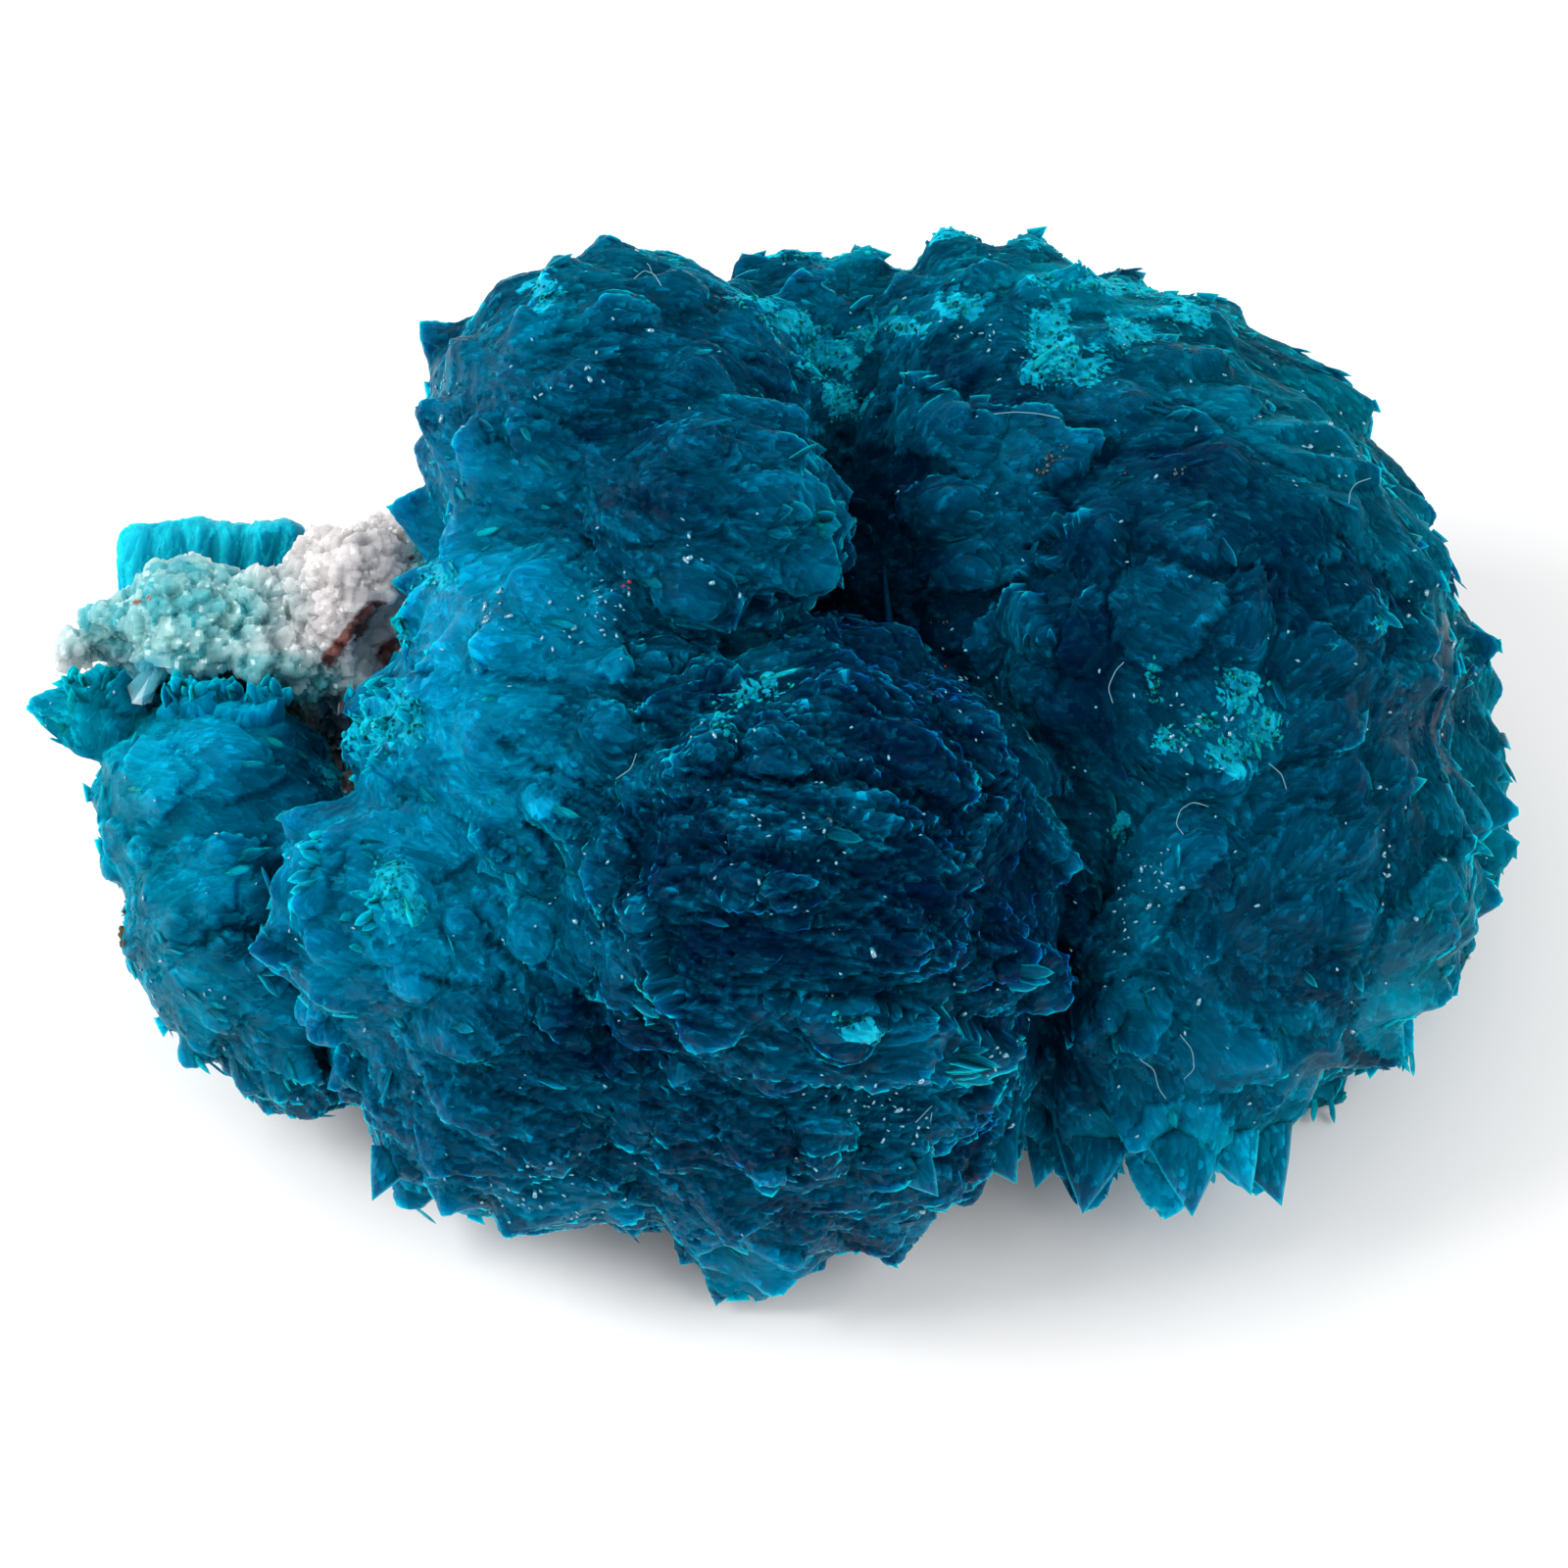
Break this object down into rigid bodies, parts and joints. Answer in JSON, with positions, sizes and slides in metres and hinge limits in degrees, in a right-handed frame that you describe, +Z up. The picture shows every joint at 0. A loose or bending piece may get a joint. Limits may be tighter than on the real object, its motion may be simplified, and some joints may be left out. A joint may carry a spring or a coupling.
{
  "type": "cavansite specimen",
  "caption": "Hand specimen of cavansite: intergrown balls of radiating blue blades, with a smaller ball and a spray beside them on a crust of white stilbite.",
  "frame": {"origin": "centre of the underside of the specimen's box, on the surface it rests on", "axes": "+X along the longest extent, from the small left ball to the large right ball; +Y to the back, away from the show face; +Z up"},
  "size_m": [0.031, 0.0216, 0.0163],
  "materials": {
    "main_rosette": "deep blue crystal faces, vitreous",
    "left_rosette": "bright blue crystal faces, vitreous",
    "stilbite_crust": "white granular crust, slightly pearly",
    "rear_spray": "turquoise crystal faces, vitreous"
  },
  "bodies": {
    "root": {"main_rosette": "main_rosette", "left_rosette": "left_rosette", "stilbite_crust": "stilbite_crust", "rear_spray": "rear_spray"}
  },
  "joints": []
}
